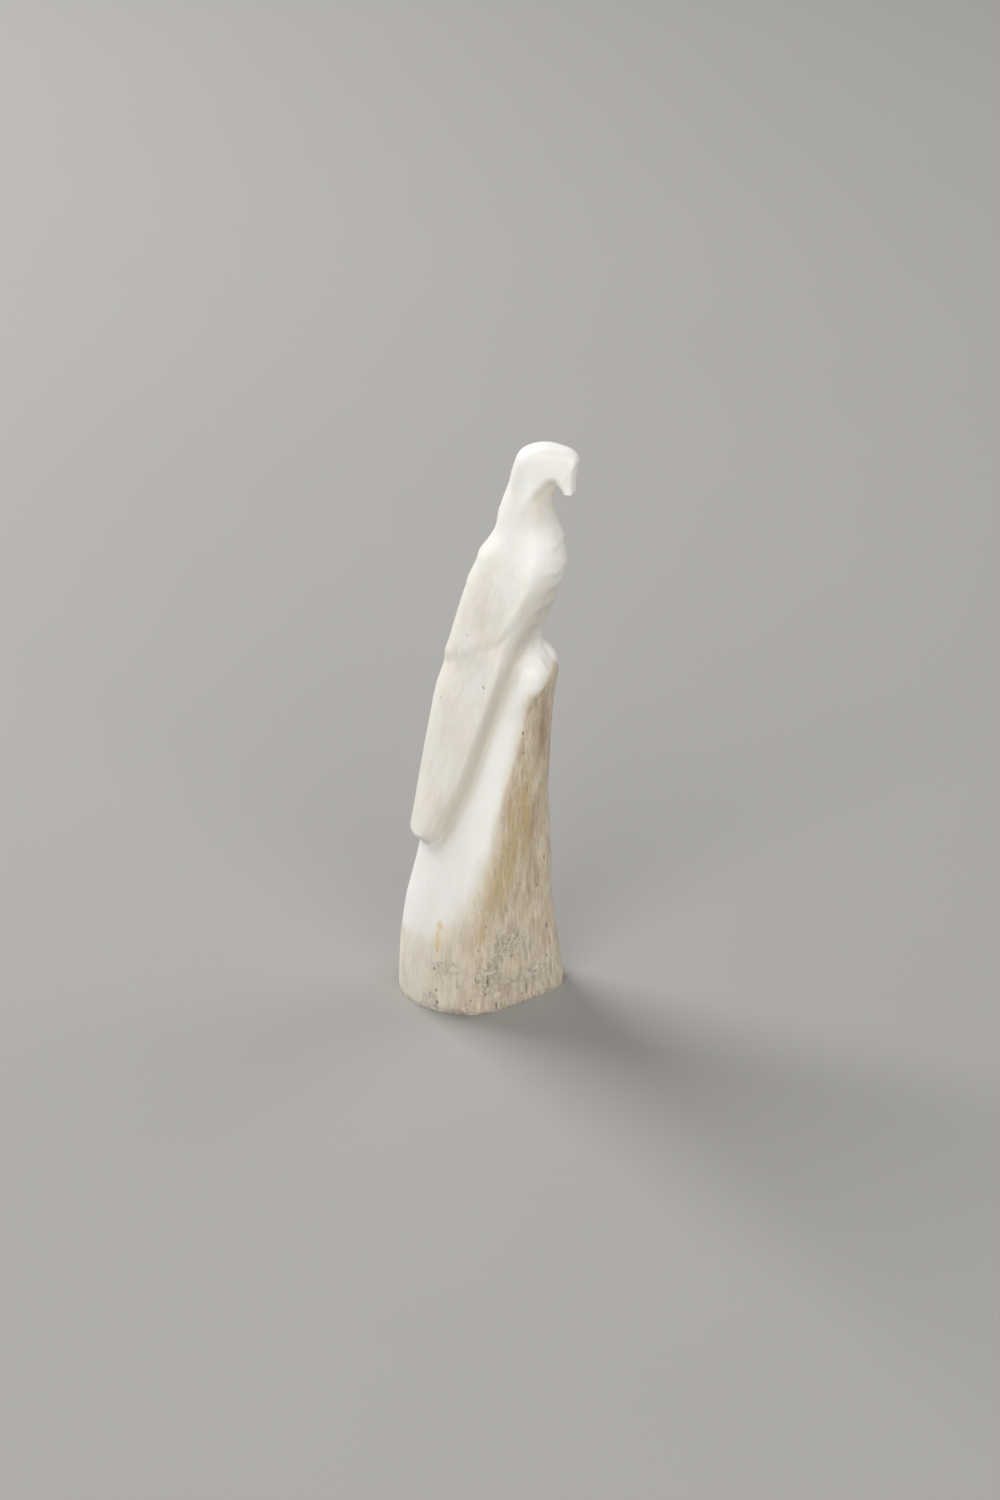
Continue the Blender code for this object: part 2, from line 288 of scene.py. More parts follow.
@dataclass(frozen=True)
class Facing:
    """Which way the surface faces at each point, as a direction and as shares of one."""

    direction: Array
    back: Array
    spine: Array
    breast: Array

    @classmethod
    def of(cls, rings: Array) -> Facing:
        """Reads the directions of a surface given as rings.

        Args:
            rings: the points of the surface.

        Returns:
            The surface's directions.
        """
        direction = outward(rings)
        forwards = direction[..., 0]
        level = np.maximum(np.hypot(forwards, direction[..., 1]), 1e-6)
        return cls(
            direction,
            back=ramp(-forwards, *FACING_BACK),
            spine=ramp(-forwards / level, *FACING_SPINE),
            breast=ramp(forwards / level, *FACING_BREAST),
        )


def outward(rings: Array) -> Array:
    """Gives the direction out of the surface at each point of the rings."""
    round_ring = np.roll(rings, -1, axis=1) - np.roll(rings, 1, axis=1)
    direction = np.cross(round_ring, np.gradient(rings, axis=0))
    direction[0, :, 2] = 0.0
    return direction / np.linalg.norm(direction, axis=2, keepdims=True)


@dataclass(frozen=True)
class Plumage:
    """The folded wings and the long tail, which stand out from the stump behind one long edge."""

    edge: Edge = Edge(
        ((13.6, 88.0), (13.2, 83.0), (12.4, 78.0), (11.1, 73.5), (9.4, 69.5), (7.8, 65.5), (6.2, 60.5), (4.4, 55.0))
        + ((2.8, 50.0), (1.1, 44.3), (-0.6, 39.3), (-2.8, 34.8), (-4.0, 32.4), (-5.0, 30.7), (-6.5, 29.4))
        + ((-9.2, 28.9), (-14.0, 28.9))
    )
    wing_edge: Edge = Edge(
        ((13.6, 84.0), (12.4, 79.2), (11.4, 76.0), (9.6, 72.2), (7.3, 68.8))
        + ((4.9, 66.4), (1.6, 64.0), (-1.9, 60.8), (-5.7, 57.0), (-9.0, 54.8))
    )
    depth: float = 1.95
    edge_width: float = 2.3
    sharper_at_tip: float = 0.9
    tip: Span = (34.0, 30.0)
    soft_edge_width: float = 6.0
    softening: Span = (61.0, 74.0)
    groove_depth: float = 0.9
    soft_groove_depth: float = 0.35
    groove_width: float = 1.7
    rim_depth: float = 0.25
    rim_inset: float = 2.3
    rim_width: float = 1.3
    tier_depth: float = 0.15
    tier_depth_at_back: float = 0.6
    tier_length: float = 5.0
    tier_rounding: float = 1.6
    crest_depth: float = 0.62
    crest_starts: Span = (2.0, 7.0)
    hollow_depth: float = 0.45
    hollow_inset: float = 3.9
    hollow_width: float = 1.5
    hollow_starts: Span = (2.0, 5.0)
    hollow_heights: Span = (66.0, 79.0)
    hollow_fade: float = 4.0
    cleft_depth: float = 0.4
    cleft_width: float = 1.2
    cleft_starts: Span = (36.0, 44.0)
    back_tiers: Span = (73.8, 79.2)
    back_tier_depth: float = 0.3
    back_tier_length: float = 3.2
    shoulder_back: Span = (2.0, 86.7)
    shoulder_slope: float = -0.3
    shoulder_rise_at_side: float = 2.0
    shoulder_rounding: float = 7.4
    shoulder_rounding_at_side: float = 15.0
    # Where the painted shade and grime in the groove in front of the plumage sits, and how wide it spreads.
    shade_and_grime_inset: float = -0.5
    shade_and_grime_width: float = 1.4

    def edge_and_groove(self, points: Array, side: Array) -> Array:
        """Raises the step up to the plumage, its rim, and the groove in front of it.

        Args:
            points: places on the blank.
            side: the share by which the surface there doesn't face the back.

        Returns:
            How far out the surface stands at each place.
        """
        depth = self.edge.behind(points[..., 0], points[..., 2])
        soft = ramp(points[..., 2], *self.softening)
        width = self.edge_width + (self.soft_edge_width - self.edge_width) * soft
        width = width - self.sharper_at_tip * ramp(points[..., 2], *self.tip)
        step = ramp(depth, -width / 2, width / 2)
        groove = self.groove_depth + (self.soft_groove_depth - self.groove_depth) * soft
        groove = groove * (1.0 - step) * np.exp(np.minimum(depth, 0.0) / self.groove_width)
        rim = self.rim_depth * (1.0 - soft) * hump((depth - self.rim_inset) / self.rim_width)
        return self.depth * step + side * (rim - groove)

    def tiers(self, points: Array, spine: Array) -> Array:
        """Raises the wings over the tail and the tiers down the back, and cuts the cleft between the wings."""
        x, y, z = np.moveaxis(points, 2, 0)
        depth = self.tier_depth + self.tier_depth_at_back * spine
        depth = depth + self.crest_depth * (1.0 - spine) * ramp(x, *self.crest_starts)
        behind = self.wing_edge.behind(x, z)
        raised = depth * shingle(behind, self.tier_length, self.tier_rounding)
        low, high = self.hollow_heights
        hollow = hump((behind - self.hollow_inset) / self.hollow_width)
        hollow = hollow * ramp(z, low, low + self.hollow_fade) * ramp(z, high, high - self.hollow_fade)
        raised -= self.hollow_depth * (1.0 - spine) * ramp(x, *self.hollow_starts) * hollow
        for notch in self.back_tiers:
            raised += self.back_tier_depth * spine * shingle(z - notch, self.back_tier_length, self.tier_rounding)
        cleft = hump(y / self.cleft_width) * ramp(z, *self.cleft_starts)
        return raised - self.cleft_depth * spine * cleft

    def hollow(self, points: Array, facing: Facing) -> Array:
        """Gives how far down in the groove in front of the plumage each point lies, as a share of one, which sets how
        much painted shade and grime lies there.
        """
        depth = self.edge.behind(points[..., 0], points[..., 2])
        lowest = hump((depth - self.shade_and_grime_inset) / self.shade_and_grime_width)
        return lowest * (1.0 - facing.back) * self.below_shoulder(points, facing.back)

    def below_shoulder(self, points: Array, back: Array) -> Array:
        """Gives the share of the plumage left below the rounded top of the shoulder."""
        top = self.shoulder_back[1] + self.shoulder_slope * (points[..., 0] - self.shoulder_back[0])
        top = top + self.shoulder_rise_at_side * (1.0 - back)
        rounding = self.shoulder_rounding_at_side + (self.shoulder_rounding - self.shoulder_rounding_at_side) * back
        return ramp(top - points[..., 2], 0.0, rounding)

    def raised(self, points: Array, facing: Facing) -> Array:
        """Gives how far out the plumage stands at each point."""
        carving = self.edge_and_groove(points, 1.0 - facing.back) + self.tiers(points, facing.spine)
        return carving * self.below_shoulder(points, facing.back)


@dataclass(frozen=True)
class Breast:
    """Small overlapping feathers cut across the front of the breast."""

    tiers: tuple[Span, ...] = ((69.0, 0.75), (72.4, 0.85), (75.4, 0.65), (78.4, 0.85), (82.4, 0.7))
    length: float = 1.7
    rounding: float = 1.15
    top: Span = (88.0, 85.0)
    unevenness: float = 0.7
    uneven: Grain = Grain(2.2, 1.0, 4.2)
    usual_depth: float = 0.85
    depth_change: float = 0.5
    changing: Grain = Grain(3.0, 0.6, 1.4)

    def raised(self, points: Array, facing: Facing) -> Array:
        """Gives how far out the feathers stand at each point."""
        height = points[..., 2]
        uneven = height + self.unevenness * self.uneven.at(points)
        tiers = sum(depth * shingle(uneven - tier, self.length, self.rounding) for tier, depth in self.tiers)
        share = facing.breast * ramp(height, *self.top)
        return share * tiers * (self.usual_depth + self.depth_change * self.changing.at(points))


@dataclass(frozen=True)
class Hood:
    """The throat, sunk below the hood of feathers that covers the head."""

    edge: Edge = Edge(
        ((16.0, 94.6), (14.2, 95.3), (12.8, 95.5), (11.5, 94.8), (10.5, 93.9), (9.2, 92.5), (8.1, 91.3), (6.7, 89.5))
    )
    depth: float = 0.45
    rounding: float = 1.8
    starts: Span = (6.5, 11.0)
    ends: Span = (14.0, 12.6)
    throat_length: float = 4.5
    throat_starts: Span = (84.0, 88.0)

    def sunk(self, points: Array) -> Array:
        """Gives the share of the full depth by which the throat is sunk at each point."""
        x, height = points[..., 0], points[..., 2]
        depth = self.edge.behind(x, height)
        share = ramp(x, *self.starts) * ramp(x, *self.ends) * ramp(height, *self.throat_starts)
        return share * ramp(depth, 0.0, -self.rounding) * np.exp(np.minimum(depth, 0.0) / self.throat_length)


@dataclass(frozen=True)
class Lump:
    """A rounded lump on both sides of the bird, sunk where its height is negative."""

    place: Place
    radius: float
    height: float

    def raised(self, points: Array) -> Array:
        """Gives how far out the lump stands at each point."""
        return self.height * hump(np.linalg.norm(on_one_side(points) - self.place, axis=2) / self.radius)


@dataclass(frozen=True)
class Feet:
    """The feet under the breast, and the small forms that share their way of being carved."""

    lumps: tuple[Lump, ...] = (
        Lump((10.6, 3.7, 61.8), 2.2, 0.5),
        Lump((9.6, 4.8, 58.8), 2.5, 0.6),
        Lump((8.4, 5.4, 55.6), 2.0, 0.4),
        Lump((12.6, 0.0, 62.8), 1.8, -0.4),
        Lump((14.9, 3.0, 96.8), 1.3, -0.2),
    )

    def raised(self, points: Array) -> Array:
        """Gives how far out the lumps stand at each point."""
        return sum(lump.raised(points) for lump in self.lumps)


@dataclass(frozen=True)
class Stroke:
    """One stroke of the knife along a line on the surface, on both sides, dying out at its ends.

    A stroke of negative depth is the ridge left between two strokes.
    """

    line: tuple[Place, ...]
    depth: float
    width: float
    steps: int = 4
    fades_over: float = 0.3

    def raised(self, points: Array) -> Array:
        """Gives how far out the surface stands along the stroke."""
        folded = on_one_side(points)
        line = curve_through(self.line, np.linspace(0.0, len(self.line) - 1.0, self.steps * len(self.line)))
        nearest = np.full(points.shape[:2], np.inf)
        run = np.zeros(points.shape[:2])
        for k, (start, end) in enumerate(zip(line, line[1:])):
            share = np.clip((folded - start) @ (end - start) / ((end - start) @ (end - start)), 0.0, 1.0)
            distance = np.linalg.norm(folded - start - share[..., None] * (end - start), axis=2)
            closer = distance < nearest
            nearest = np.where(closer, distance, nearest)
            run = np.where(closer, (k + share) / (len(line) - 1), run)
        fading = ramp(run, 0.0, self.fades_over) * ramp(run, 1.0, 1.0 - self.fades_over)
        return -self.depth * hump(nearest / self.width) * fading


@dataclass(frozen=True)
class Handwork:
    """What the knife and the polishing left on the carved surface: strokes, and a slight unevenness."""

    strokes: tuple[Stroke, ...] = (
        Stroke(
            ((9.7, 2.1, 66.5), (10.2, 1.4, 65.2), (10.8, 1.1, 63.8), (11.5, 1.2, 62.4), (12.3, 1.6, 60.6)), 0.13, 1.1
        ),
        Stroke(
            ((13.3, 1.7, 99.2), (12.6, 2.7, 98.7), (12.0, 3.3, 98.0), (11.2, 3.7, 97.0), (10.2, 3.8, 95.6)), 0.1, 0.5
        ),
        Stroke(((14.4, 3.2, 96.7), (14.55, 3.0, 95.2), (14.5, 2.2, 93.5)), 0.05, 0.3),
        Stroke(((10.3, 4.6, 63.8), (9.4, 5.2, 62.6), (8.7, 5.6, 61.0), (8.3, 5.8, 59.0)), -0.3, 0.6),
        Stroke(((9.0, 5.6, 59.6), (8.6, 5.7, 57.6), (7.9, 5.9, 55.0)), -0.16, 0.5),
        Stroke(((10.4, 6.5, 78.4), (8.9, 7.6, 74.8), (6.3, 8.3, 70.7), (4.2, 8.4, 67.2)), -0.2, 0.8),
        Stroke(((3.4, 8.4, 68.6), (1.0, 8.2, 66.4), (-1.8, 7.6, 63.4), (-4.4, 6.2, 60.4)), -0.14, 0.9),
    )
    unevenness: float = 0.1
    uneven: Grain = Grain(3.6, 1.6, 2.3)
    roughness: float = 0.034
    rough: Grain = Grain(1.2, 1.8, 5.9)

    def raised(self, points: Array) -> Array:
        """Gives how far out the handwork stands at each point."""
        strokes = sum(stroke.raised(points) for stroke in self.strokes)
        return strokes + self.unevenness * self.uneven.at(points) + self.roughness * self.rough.at(points)


@dataclass(frozen=True)
class SawnFoot:
    """The sawn edge round the foot, worn round and chipped here and there."""

    worn: float = 0.14
    rise: float = 0.7
    chip: float = 0.26
    chips: Patches = Patches(Grain(2.4, 1.0, 9.4), (0.2, 0.55), (2.2, 0.2))
    crumb: float = 0.16
    crumbs: Patches = Patches(Grain(0.9, 1.0, 4.7), (0.1, 0.5), (1.4, 0.1))

    def raised(self, points: Array) -> Array:
        """Gives how far out the surface stands near the sawn edge."""
        worn = self.worn * ramp(points[..., 2], self.rise, 0.0) ** 2
        return -worn - self.chip * self.chips.share(points) - self.crumb * self.crumbs.share(points)


@dataclass(frozen=True)
class Bark:
    """The antler's own rough skin, left on the stump in front and all round its foot.

    Its edge is given by degrees round from the front and by height.
    """

    edge: Edge = Edge(
        ((-60.0, 62.4), (-9.0, 62.0), (9.0, 61.3), (26.0, 58.5), (40.0, 57.0), (39.0, 51.1), (42.0, 45.6))
        + ((52.0, 38.5), (56.0, 35.0), (60.0, 29.7), (66.0, 26.1), (76.0, 21.8), (89.0, 16.8), (103.0, 13.9))
        + ((117.0, 12.2), (133.0, 11.6), (150.0, 11.4), (190.0, 11.4))
    )
    ragged: tuple[tuple[float, Grain], ...] = ((0.5, Grain(2.6, 2.0, 3.1)), (0.3, Grain(0.9, 2.5, 7.7)))
    degree: float = 0.148
    proud: float = 0.14
    ridge_depth: float = 0.07
    ridges: Grain = Grain(0.8, 9.0, 6.1)
    worn_depth: float = 0.1
    worn: Grain = Grain(3.4, 1.4, 8.8)
    worn_values: Span = (0.1, 0.6)
    sharp_width: float = 1.3
    soft_width: float = 7.5
    soft_below: float = 22.0
    sharp_above: float = 44.0
    crusts: tuple[Lump, ...] = (
        Lump((6.7, 4.7, 11.8), 2.6, 1.0),
        Lump((4.2, 8.4, 7.0), 2.2, 1.2),
        Lump((9.1, 1.6, 4.6), 2.4, 1.1),
        Lump((-0.9, 10.4, 8.3), 1.3, 0.9),
        Lump((-4.8, 10.5, 1.8), 1.6, 1.0),
        Lump((10.6, 2.0, 12.0), 1.8, 0.5),
    )
    crust_depth: float = 0.16
    flakes: Grain = Grain(0.9, 1.0, 2.9)
    crusty: Patches = Patches(Grain(5.5, 0.8, 6.6), (0.2, 0.5), (15.0, 8.0))
    crusty_share: float = 0.6
    crusty_rim: Span = (1.8, 0.3)
    crusty_rim_share: float = 0.8
    nicks: tuple[Lump, ...] = (
        Lump((11.2, 1.4, 38.8), 1.3, -0.3),
        Lump((11.0, 2.2, 36.2), 1.5, -0.14),
    )

    def depth(self, points: Array, blank: Blank) -> Array:
        """Measures how far points lie inside the bark's ragged edge.

        Args:
            points: places on the carving.
            blank: the blank whose middle the bark runs round.

        Returns:
            The distance inside the edge, and negative outside it.
        """
        x, y, z = np.moveaxis(points, 2, 0)
        turned = np.degrees(np.abs(np.arctan2(y, x - blank.middle(z))))
        line = Edge(tuple((degrees * self.degree, height) for degrees, height in self.edge.points))
        ragged = sum(depth * grain.at(points) for depth, grain in self.ragged)
        return line.behind(turned * self.degree, z) + ragged

    def share(self, points: Array, depth: Array) -> Array:
        """Gives how much of the bark is left at each point."""
        sharp = ramp(points[..., 2], self.soft_below, self.sharp_above)
        width = self.soft_width + (self.sharp_width - self.soft_width) * sharp
        return ramp(depth, -width / 2, width / 2)

    def raised(self, points: Array, share: Array) -> Array:
        """Gives how far out the bark stands, with its upright ridges and its worn places.

        Args:
            points: places on the carving.
            share: how much of the bark is left at each.

        Returns:
            The height of the bark at each point.
        """
        ridges = self.ridge_depth * self.ridges.at(points)
        worn = self.worn_depth * ramp(self.worn.at(points), *self.worn_values)
        flakes = self.crust_depth * self.crust(points) * self.flakes.at(points)
        nicks = sum(nick.raised(points) for nick in self.nicks)
        return share * (self.proud + ridges - worn + flakes + nicks)

    def crust(self, points: Array) -> Array:
        """Gives how crusty the bark is at each point: in patches near the foot, and along the sawn edge."""
        placed = sum(crust.raised(points) for crust in self.crusts)
        rim = self.crusty_rim_share * ramp(points[..., 2], *self.crusty_rim)
        return np.clip(placed + self.crusty_share * self.crusty.share(points) + rim, 0.0, 1.0)


@dataclass(frozen=True)
class Streak:
    """A long streak of colour in the bark, along a line on both sides of it."""

    line: tuple[Place, ...]
    width: float

    def share(self, points: Array) -> Array:
        """Gives how strong the streak is at each point."""
        return Stroke(self.line, -1.0, self.width).raised(points)


@dataclass
class Carving:
    """The whole carving: its blank, what is carved on it and what is left of its bark."""

    blank: Blank = field(default_factory=Blank)
    plumage: Plumage = field(default_factory=Plumage)
    breast: Breast = field(default_factory=Breast)
    hood: Hood = field(default_factory=Hood)
    feet: Feet = field(default_factory=Feet)
    handwork: Handwork = field(default_factory=Handwork)
    bark: Bark = field(default_factory=Bark)
    foot: SawnFoot = field(default_factory=SawnFoot)
    golden: tuple[Streak, ...] = (
        Streak(((9.8, 2.5, 46.0), (9.0, 2.7, 40.4), (8.7, 2.7, 36.7), (8.8, 2.1, 32.5), (7.9, 2.7, 20.0)), 1.2),
        Streak(((7.6, 4.4, 43.0), (7.2, 4.4, 36.5), (6.8, 4.5, 30.9), (6.4, 4.7, 25.3), (5.8, 5.4, 16.0)), 2.0),
        Streak(((6.4, 5.2, 34.0), (5.3, 6.4, 27.0), (4.3, 7.4, 21.0), (3.4, 8.3, 15.0), (3.0, 8.9, 11.0)), 1.9),
    )
    brown: tuple[Streak, ...] = (
        Streak(((12.5, 1.2, 64.0), (12.1, 2.9, 59.1), (11.5, 2.6, 56.1), (11.1, 1.6, 48.0), (10.5, 0.8, 38.0)), 1.5),
        Streak(((10.6, 0.4, 42.0), (9.6, 1.2, 35.0), (9.0, 1.2, 27.0), (9.2, 0.6, 18.0)), 0.9),
    )
    forward_share: float = 0.1
    bark_reach: float = 9.0
    # How strongly the sunk throat under the hood takes painted shade and grime.
    throat_shade_and_grime: float = 1.5
    back_span: Span = (-4.0, 9.0)
    foot_rings: int = 16
    tip_rings: int = 3
    first_inset: float = 0.015
    sharp_angle: float = 50.0

    def carved(self) -> tuple[Array, dict[str, Array]]:
        """Carves the blank.

        Returns:
            The rings of the carved surface, and what its finish needs to know at each point.
        """
        rings = self.blank.rings()
        facing = Facing.of(rings)
        sideways = facing.direction.copy()
        sideways[..., 0] = np.minimum(sideways[..., 0], self.forward_share * sideways[..., 0])
        sunk = self.hood.sunk(rings)
        small = self.breast.raised(rings, facing) - self.hood.depth * sunk + self.feet.raised(rings)
        plumage = self.plumage.raised(rings, facing)
        points = rings + plumage[..., None] * sideways + small[..., None] * facing.direction
        depth = self.bark.depth(rings, self.blank)
        bark = self.bark.share(rings, depth)
        fine = self.handwork.raised(points) * (1.0 - bark) + self.bark.raised(points, bark) + self.foot.raised(points)
        points = points + fine[..., None] * outward(points)
        finish = {
            "bark": bark,
            "bark_depth": np.clip(depth, -self.bark_reach, self.bark_reach),
            "crust": bark * self.bark.crust(points),
            # Painted shade and grime: the sunk throat under the hood and the groove in front of the plumage.
            "hollow": np.maximum(np.minimum(self.throat_shade_and_grime * sunk, 1.0), self.plumage.hollow(rings, facing)),
            "plumage": plumage / self.plumage.depth,
            "back": ramp(self.blank.middle(points[..., 2]) - points[..., 0], *self.back_span),
            "core": np.zeros_like(bark),
        }
        for name, streaks in (("golden", self.golden), ("brown", self.brown)):
            finish[name] = np.clip(sum(streak.share(points) for streak in streaks), 0.0, 1.0)
        return points, finish

    def build(self) -> bpy.types.Object:
        """Builds the carving as one closed mesh.

        Returns:
            The new object, in the CAD's own place.
        """
        points, finish = self.carved()
        rings, sides = points.shape[:2]
        vertices = list(points.reshape(-1, 3))
        faces = [
            (k * sides + j, k * sides + (j + 1) % sides, (k + 1) * sides + (j + 1) % sides, (k + 1) * sides + j)
            for k in range(rings - 1)
            for j in range(sides)
        ]
        values = {name: list(value.reshape(-1)) for name, value in finish.items()}
        self.cap(vertices, faces, values, points[0], 0, self.foot_rings, inwards=True)
        self.cap(vertices, faces, values, points[-1], (rings - 1) * sides, self.tip_rings, inwards=False)
        mesh = bpy.data.meshes.new("eagle_carving")
        mesh.from_pydata(np.array(vertices) * HUNDREDTH, [], faces)
        for name, value in values.items():
            mesh.attributes.new(name, "FLOAT", "POINT").data.foreach_set("value", value)
        mesh.shade_smooth()
        mesh.set_sharp_from_angle(angle=math.radians(self.sharp_angle))
        piece = bpy.data.objects.new("eagle_carving", mesh)
        bpy.context.scene.collection.objects.link(piece)
        return piece

    def cap(
        self,
        vertices: list[Array],
        faces: list[tuple[int, ...]],
        values: dict[str, list[float]],
        ring: Array,
        first: int,
        count: int,
        inwards: bool,
    ) -> None:
        """Closes one end with rings that shrink to its middle.

        Args:
            vertices: the vertices so far, which grow.
            faces: the faces so far, which grow.
            values: the finish at each vertex so far, which grows.
            ring: the end's own ring.
            first: the number of that ring's first vertex.
            count: how many rings the end has, its own one included.
            inwards: whether the end faces against the way the rings run.
        """
        sides, middle = len(ring), ring.mean(axis=0)
        outer = first
        for k in range(1, count):
            inner = len(vertices)
            inset = self.first_inset if k == 1 else (k - 1) / (count - 1)
            vertices.extend(middle + (ring - middle) * (1 - inset))
            for name, value in values.items():
                value.extend([inset] * sides if name == "core" else value[first : first + sides])
            for j in range(sides):
                face = (outer + j, outer + (j + 1) % sides, inner + (j + 1) % sides, inner + j)
                faces.append(face[::-1] if inwards else face)
            outer = inner
        face = tuple(range(outer, outer + sides))
        faces.append(face[::-1] if inwards else face)


class Skin(Enum):
    """The three surfaces that antler shows."""

    POLISHED = "polished"
    BARK = "bark"
    SAWN = "sawn"


@dataclass(frozen=True)
class Tone:
    """The colours and roughness of one of the antler's surfaces."""

    light: Colour
    dark: Colour
    roughness: float


@dataclass(frozen=True)
class Cloud:
    """A cloudy noise in a material, by its sizes in hundredths, and the values over which it shows.

    Without those values it keeps its own. It leans forward by some degrees.
    """

    across: float
    along: float
    detail: float
    roughness: float
    shows: Span | None = None
    strength: float = 1.0
    lean: float = 0.0
    sideways: float | None = None


class Graph:
    """A material's nodes, with one short call for each kind that the finish uses."""

    def __init__(self, name: str) -> None:
        """Starts an empty material."""
        self.material = bpy.data.materials.new(name)
        self.material.use_nodes = True
        self.tree = self.material.node_tree
        self.tree.nodes.clear()

    def node(self, kind: str, inputs: dict[str | int, object], **settings: object) -> bpy.types.Node:
        """Adds a node.

        Args:
            kind: Blender's name for the kind of node, without its prefix.
            inputs: a value or another node's socket for each input.
            settings: the node's own settings.

        Returns:
            The new node.
        """
        made = self.tree.nodes.new(f"ShaderNode{kind}")
        for name, value in settings.items():
            setattr(made, name, value)
        for name, value in inputs.items():
            if isinstance(value, Socket):
                self.tree.links.new(value, made.inputs[name])
            else:
                made.inputs[name].default_value = value
        return made

    def attribute(self, name: str) -> Socket:
        """Reads one of the values that the mesh carries."""
        return self.node("Attribute", {}, attribute_name=name).outputs["Fac"]

    def place(self, across: float, sideways: float, along: float, lean: float = 0.0) -> Socket:
        """Gives the place on the object, counted in steps of these sizes.

        Args:
            across: the size of a step from back to front, in hundredths.
            sideways: the size of a step from side to side.
            along: the size of a step up the antler.
            lean: by how many degrees the steps lean forward.

        Returns:
            The place.
        """
        place = self.node("TexCoord", {}).outputs["Object"]
        sizes = tuple(size * HUNDREDTH for size in (across, sideways, along))
        turned = (0.0, math.radians(lean), 0.0)
        inputs = {"Vector": place, "Rotation": turned, "Scale": sizes}
        return self.node("Mapping", inputs, vector_type="TEXTURE").outputs["Vector"]

    def cloud(self, cloud: Cloud) -> Socket:
        """Adds a cloudy noise."""
        place = self.place(cloud.across, cloud.sideways or cloud.across, cloud.along, cloud.lean)
        inputs = {"Vector": place, "Scale": 1.0, "Detail": cloud.detail, "Roughness": cloud.roughness}
        value = self.node("TexNoise", inputs).outputs["Fac"]
        return self.span(value, *cloud.shows, cloud.strength) if cloud.shows else value

    def cells(self, across: float, along: float) -> Socket:
        """Adds the distance to the nearest of many scattered points."""
        place = self.place(across, across, along)
        return self.node("TexVoronoi", {"Vector": place, "Scale": 1.0}).outputs["Distance"]

    def span(self, value: Socket, start: float, end: float, high: float = 1.0) -> Socket:
        """Adds a smooth rise from nought at start to high at end."""
        inputs = {"Value": value, "From Min": start, "From Max": end, "To Min": 0.0, "To Max": high}
        return self.node("MapRange", inputs, interpolation_type="SMOOTHSTEP").outputs["Result"]

    def maths(self, operation: str, *values: object) -> Socket:
        """Adds a sum, product or other reckoning of values."""
        return self.node("Math", dict(enumerate(values)), operation=operation).outputs[0]

    def times(self, first: object, second: object) -> Socket:
        """Multiplies two values."""
        return self.maths("MULTIPLY", first, second)

    def line(self, value: object, slope: object, start: object) -> Socket:
        """Gives a value times a slope, and a start added."""
        return self.maths("MULTIPLY_ADD", value, slope, start)

    def larger(self, first: object, second: object) -> Socket:
        """Gives the larger of two values."""
        return self.maths("MAXIMUM", first, second)

    def blend(self, share: object, first: object, second: object) -> Socket:
        """Mixes two colours."""
        made = self.node("Mix", {}, data_type="RGBA")
        for name, value in (("Factor_Float", share), ("A_Color", first), ("B_Color", second)):
            socket = next(one for one in made.inputs if one.identifier == name)
            if isinstance(value, Socket):
                self.tree.links.new(value, socket)
            else:
                socket.default_value = (*value, 1.0) if isinstance(value, tuple) else value
        return next(one for one in made.outputs if one.identifier == "Result_Color")

    def layers(self, colour: Socket, *layers: tuple[Socket, object]) -> Socket:
        """Lays colours over the first one in turn, each by its share."""
        return reduce(lambda below, layer: self.blend(layer[0], below, layer[1]), layers, colour)

    def finish(self, inputs: dict[str | int, object]) -> None:
        """Adds the surface's own shader and the material's output."""
        self.node("OutputMaterial", {"Surface": self.node("BsdfPrincipled", inputs).outputs[0]})


class Mark(Enum):
    """The kinds of small mark on the antler."""

    PORE = "pore"
    CRACK = "crack"
    SCAR = "scar"
    STAIN = "stain"


@dataclass(frozen=True)
class Blemish:
    """A small mark: its place, width and height in hundredths, and how its outline fades."""

    x: float
    y: float
    z: float
    width: float
    height: float
    outline: Span = (1.25, 0.65)

    def share(self, graph: Graph, place: Socket, ragged: Socket) -> Socket:
        """Adds the nodes that draw the mark.

        Args:
            graph: the material's nodes.
            place: the place on the object.
            ragged: a noise that makes the mark's outline uneven.

        Returns:
            How much of the mark covers the surface there.
        """
        reach = tuple(1.0 / (HUNDREDTH * size) for size in (self.width, self.width, self.height))
        middle = tuple(-at * HUNDREDTH * scale for at, scale in zip((self.x, self.y, self.z), reach))
        moved = graph.node("VectorMath", {0: place, 1: reach, 2: middle}, operation="MULTIPLY_ADD").outputs[0]
        away = graph.node("VectorMath", {0: moved}, operation="LENGTH").outputs["Value"]
        return graph.span(graph.maths("ADD", away, ragged), *self.outline)


